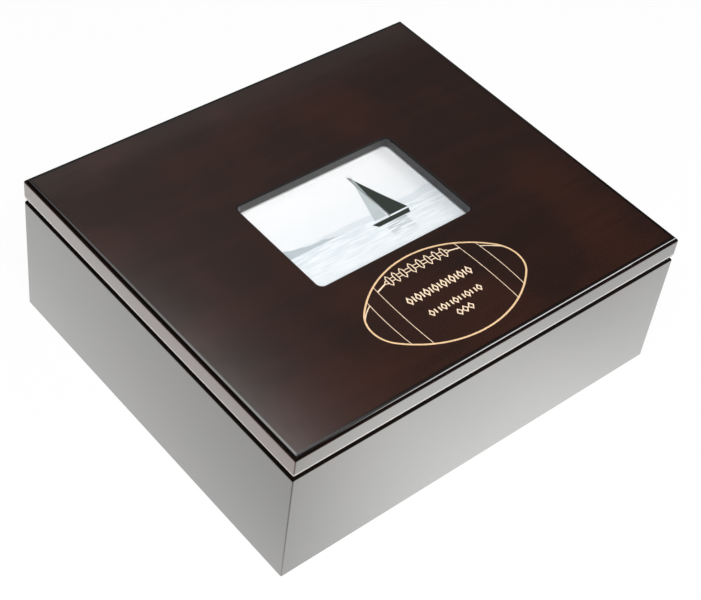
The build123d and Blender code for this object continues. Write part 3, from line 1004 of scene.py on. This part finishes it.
def make_wall_linings():
    """Covered cards: a section with a rounded top carried along each wall, its face swelling by
    the bulge as a half wave. Towards its ends the card thins along a quarter circle, to 0.6 of
    its thickness, as the cover folds round them."""
    linings = settings("linings")
    tuck, bulge, thinning, face_rows = linings.tuck, linings.bulge, 0.4, 16
    t = np.linspace(0.0, 1.0, face_rows + 1)[1:-1]
    turn = quarter_turns(CARD_STEPS)
    folded = 1 - thinning * (1 - np.concatenate([np.sin(turn), np.sin(turn)[::-1]]))
    for side in ("front", "right", "back", "left"):
        low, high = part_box(f"{side}_lining")
        along, across = (0, 1) if side in ("front", "back") else (1, 0)
        inward = -1 if side in ("back", "right") else 1
        wall = high[across] if inward < 0 else low[across]
        flat = high[across] - low[across] - bulge
        face = np.column_stack([flat + bulge * np.sin(HALF_TURN * t),
                                low[2] + (high[2] - tuck - low[2]) * t])
        section = np.vstack([[(0.0, low[2]), (flat, low[2])], face,
                             quarter(CARD_STEPS, flat, high[2], -tuck, -tuck), [(0.0, high[2])]])
        fold = tuck - tuck * np.cos(turn)
        runs = np.concatenate([low[along] + fold, (high[along] - fold)[::-1]])
        points = np.zeros((len(section), len(runs), 3))
        points[..., along] = runs[None, :]
        points[..., across] = wall + inward * section[:, 0, None] * folded[None, :]
        points[..., 2] = section[:, 1, None]
        add_piece(f"{side}_lining_velvet", points, capped_quads(len(section), len(runs)),
                  [finish("velvet_pile", velvet)], "base", "velvet", [f"{side}_lining"])


# ---------------------------------------------------------------- stage

def backdrop_finish():
    """White floor. It shows as white to the camera, in mirrors and through glass, and keeps the
    object's soft shadow. Mirrors show it brightest beside the box and dark further out, brighter
    in front than at the left, and dimmer off the front left corner."""
    material = bpy.data.materials.new("backdrop")
    tree = empty_tree(material)
    x, y, _ = place(tree).axes()
    left, right, front, back = (
        (coordinate * way - edge).at_least(0.0) for coordinate, way, edge in (
            (x, -1.0, LID_HIGH.x), (x, 1.0, LID_HIGH.x),
            (y, -1.0, LID_HIGH.y), (y, 1.0, LID_HIGH.y)))
    furthest_out = left.at_least(right).at_least(front.at_least(back))
    reach = furthest_out.fade(0.12, settings("stage").glow_reach, 1.0, 0.0)
    off_corner = left.at_most(front) / left.at_least(front).at_least(1e-4)

    # Places are in metres from the middle of the box, slopes in levels a metre.
    level = x.fade(-0.19, 0.0, 0.66, 1.12) + x.fade(0.05, 0.17, 0.0, -0.165)
    level = level + y.fade(-0.13, 0.24, 0.0, 0.145)
    level = (level + front * -4.5 + left * -2.5).at_least(0.0)
    glow = (level * reach * off_corner.fade(0.2, 0.8, 1.0, 0.4)).at_least(0.008)

    ray = node(tree, "LightPath").outputs
    seen, mirrored, through = (
        Signal(ray[f"Is {kind} Ray"]) for kind in ("Camera", "Glossy", "Transmission"))
    strength = signal(tree, "Mix", "Result", {"Factor": mirrored, "A": 1.0, "B": glow})
    tint = mirrored.mix((1.0, 1.0, 1.0), (0.975, 1.0, 0.985))
    matt = signal(tree, "BsdfDiffuse", 0, {"Color": (0.85, 0.85, 0.85)})
    white = signal(tree, "Emission", 0, {"Color": tint, "Strength": strength})
    bright = signal(tree, "MixShader", 0, {0: mirrored.at_least(0.95), 1: matt, 2: white})
    direct = seen.at_least(mirrored).at_least(through)
    surface = signal(tree, "MixShader", 0, {0: direct, 1: matt, 2: bright})
    node(tree, "OutputMaterial", {"Surface": surface})
    return material


def make_backdrop():
    """Round floor that sweeps up into a wall: the section, a flat run, a quarter circle and a
    short rise, turned about Z."""
    stage = settings("stage")
    cove, radius = stage.backdrop_height / 2, stage.floor_radius
    cove_steps, sides = 16, 96
    section = np.vstack([
        [(0.0, 0.0), (radius / 2, 0.0)],
        quarter(cove_steps, radius + cove, 0.0, -cove, cove, level_first=True),
        [(radius + cove, stage.backdrop_height)]])
    angle = np.linspace(0.0, 2 * HALF_TURN, sides + 1)[:-1]
    out, z = section[:, 0, None], section[:, 1, None]
    points = np.stack([out * np.cos(angle), out * np.sin(angle), z + 0 * angle], -1)
    mesh = bpy.data.meshes.new("floor")
    faces = grid_quads(len(section), len(angle), False, True)
    mesh.from_pydata(points.reshape(-1, 3).tolist(), [], faces.tolist())
    merge_doubles(mesh, 0.01 * MM)
    mesh.shade_smooth()
    mesh.materials.append(backdrop_finish())
    add_object("floor", mesh)


def add_lamp(name, direction, distance, size, power):
    """Round softbox in that direction from the lid, facing it. It has no image in the polished
    wood: what shines there is the floor and the surroundings."""
    light = bpy.data.lights.new(name, "AREA")
    light.shape, light.size, light.energy = "DISK", size, power
    lamp = add_object(name, light)
    way = Vector(direction).normalized()
    lamp.location = Vector((0.0, 0.0, LID_HIGH.z)) + way * distance
    lamp.rotation_euler = way.to_track_quat("Z", "Y").to_euler()
    lamp.visible_camera = lamp.visible_glossy = False


def make_lamps():
    """Main lamp over the front left corner, and a weaker one at the right."""
    power = settings("stage").lamp_power
    add_lamp("main_lamp", (-0.40, -0.42, 0.85), distance=1.4, size=1.0, power=power)
    add_lamp("side_lamp", (0.75, -0.55, 0.45), distance=1.5, size=0.8, power=power * 0.25)


def make_surroundings():
    """Dim studio with two softboxes overhead, laid out on a plane one metre up, where across and
    along are x / z and y / z of a direction. The wide one's light falls off beyond its right
    edge by a factor e in every 28 mm, and is weaker in front. The narrow strip lies further to
    the front and right. The ceiling behind and between them is faintly lit."""
    world = bpy.data.worlds.new("studio")
    bpy.context.scene.world = world
    tree = empty_tree(world)
    x, y, z = signal(tree, "TexCoord", "Generated").axes()
    height = z.at_least(0.05)
    across, along = x / height, y / height
    upward = z.fade(0.05, 0.15)
    wide_edge, falloff, wide_level, wide_most = 0.56, 0.028, 0.25, 0.6
    strip_level, night = 1.5, 0.002

    wide = (((across - wide_edge) / -falloff).math("EXPONENT") * wide_level).at_most(wide_most)
    wide = (wide * along.fade(0.94, 0.52) * along.fade(0.34, 0.56, 0.29, 1.0)
            * along.fade(-0.18, -0.10) * across.fade(-0.2, 0.0))
    strip = (along.fade(-0.60, -0.50) * along.fade(-0.17, -0.25) * across.fade(0.55, 0.70)
             * across.fade(1.15, 1.0) * strip_level)
    behind = ((across.fade(0.60, 0.95, 0.022, 0.011) + along.fade(0.915, 0.965, 0.0, 0.035))
              * along.fade(0.58, 0.86, 0.1, 1.0) * across.fade(0.32, 0.48))
    between = along.fade(-0.18, -0.10) * along.fade(0.56, 0.48, 0.0, 0.012)
    light = (wide + strip + behind + between) * upward + night
    background = signal(tree, "Background", 0, {"Color": (1.0, 1.0, 1.0), "Strength": light})
    node(tree, "OutputWorld", {"Surface": background})


def make_camera():
    """Camera above the front left corner, turned a little about its own line of sight."""
    azimuth, elevation, roll = (math.radians(a) for a in (-45.859, 45.237, 8.408))
    target, distance = Vector((11.394, 4.008, 16.665)) * MM, 1046.1 * MM
    back = Vector((math.sin(azimuth) * math.cos(elevation),
                   -math.cos(azimuth) * math.cos(elevation), math.sin(elevation)))
    level = Vector((math.cos(azimuth), math.sin(azimuth), 0.0))
    steep = back.cross(level)
    right = math.cos(roll) * level + math.sin(roll) * steep
    up = math.cos(roll) * steep - math.sin(roll) * level
    camera = add_object("camera", bpy.data.cameras.new("camera"))
    camera.data.lens = settings("stage").lens
    camera.data.sensor_width = 36.0
    turn = Matrix((right, up, back)).transposed().to_4x4()
    camera.matrix_world = Matrix.Translation(target + back * distance) @ turn
    bpy.context.scene.camera = camera


# ---------------------------------------------------------------- operators and panel

class KEEPSAKE_OT_walls(bpy.types.Operator):
    """Replaces the four walls of the case by smooth lacquered boards"""
    bl_idname = "keepsake.walls"
    bl_label = "Case Walls"

    def execute(self, context):
        make_walls()
        return {"FINISHED"}


class KEEPSAKE_OT_underside(bpy.types.Operator):
    """Makes the felt under the box and finishes the bottom panel and the bumpers"""
    bl_idname = "keepsake.underside"
    bl_label = "Underside"

    def execute(self, context):
        make_underside()
        return {"FINISHED"}


class KEEPSAKE_OT_lid(bpy.types.Operator):
    """Replaces the lid panel by a smooth lacquered one with its window"""
    bl_idname = "keepsake.lid"
    bl_label = "Lid"

    def execute(self, context):
        make_lid()
        return {"FINISHED"}


class KEEPSAKE_OT_figure(bpy.types.Operator):
    """Fills the engraving on the lid"""
    bl_idname = "keepsake.figure"
    bl_label = "Engraved Figure"

    def execute(self, context):
        make_figure()
        return {"FINISHED"}


class KEEPSAKE_OT_picture(bpy.types.Operator):
    """Finishes the print, its glass, the card and the backing board"""
    bl_idname = "keepsake.picture"
    bl_label = "Picture"

    def execute(self, context):
        make_picture()
        return {"FINISHED"}


class KEEPSAKE_OT_linings(bpy.types.Operator):
    """Makes the floor pad, the lid pad and the four wall linings"""
    bl_idname = "keepsake.linings"
    bl_label = "Linings and Pads"

    def execute(self, context):
        make_floor_pad()
        make_lid_pad()
        make_wall_linings()
        return {"FINISHED"}


class KEEPSAKE_OT_hardware(bpy.types.Operator):
    """Finishes hinges, turn buttons and screws in brass"""
    bl_idname = "keepsake.hardware"
    bl_label = "Brass Hardware"

    def execute(self, context):
        make_hardware()
        return {"FINISHED"}


class KEEPSAKE_OT_stage(bpy.types.Operator):
    """Sets up the floor, the lamps, the surroundings and the camera"""
    bl_idname = "keepsake.stage"
    bl_label = "Stage"

    def execute(self, context):
        make_backdrop()
        make_lamps()
        make_surroundings()
        make_camera()
        context.scene.view_settings.view_transform = "Standard"
        return {"FINISHED"}


OPERATORS = (
    KEEPSAKE_OT_walls, KEEPSAKE_OT_underside, KEEPSAKE_OT_lid, KEEPSAKE_OT_figure,
    KEEPSAKE_OT_picture, KEEPSAKE_OT_linings, KEEPSAKE_OT_hardware, KEEPSAKE_OT_stage)
SETTINGS = {
    "keepsake_case": KeepsakeCase, "keepsake_lid": KeepsakeLid, "keepsake_figure": KeepsakeFigure,
    "keepsake_linings": KeepsakeLinings, "keepsake_finishes": KeepsakeFinishes,
    "keepsake_stage": KeepsakeStage}


class KEEPSAKE_PT_panel(bpy.types.Panel):
    """The makers of the box's pieces, in order"""
    bl_idname = "KEEPSAKE_PT_panel"
    bl_label = "Keepsake Box"
    bl_space_type = "VIEW_3D"
    bl_region_type = "UI"
    bl_category = "Keepsake"

    def draw(self, context):
        for maker in OPERATORS:
            self.layout.operator(maker.bl_idname)


def register():
    for kind in (*SETTINGS.values(), *OPERATORS, KEEPSAKE_PT_panel):
        bpy.utils.register_class(kind)
    for name, kind in SETTINGS.items():
        setattr(bpy.types.Scene, name, PointerProperty(type=kind))


def unregister():
    for name in SETTINGS:
        delattr(bpy.types.Scene, name)
    for kind in reversed((*SETTINGS.values(), *OPERATORS, KEEPSAKE_PT_panel)):
        bpy.utils.unregister_class(kind)


def main():
    """Makes every piece and the stage."""
    register()
    for maker in OPERATORS:
        getattr(bpy.ops.keepsake, maker.bl_idname.partition(".")[2])()


if __name__ == "__main__":
    main()
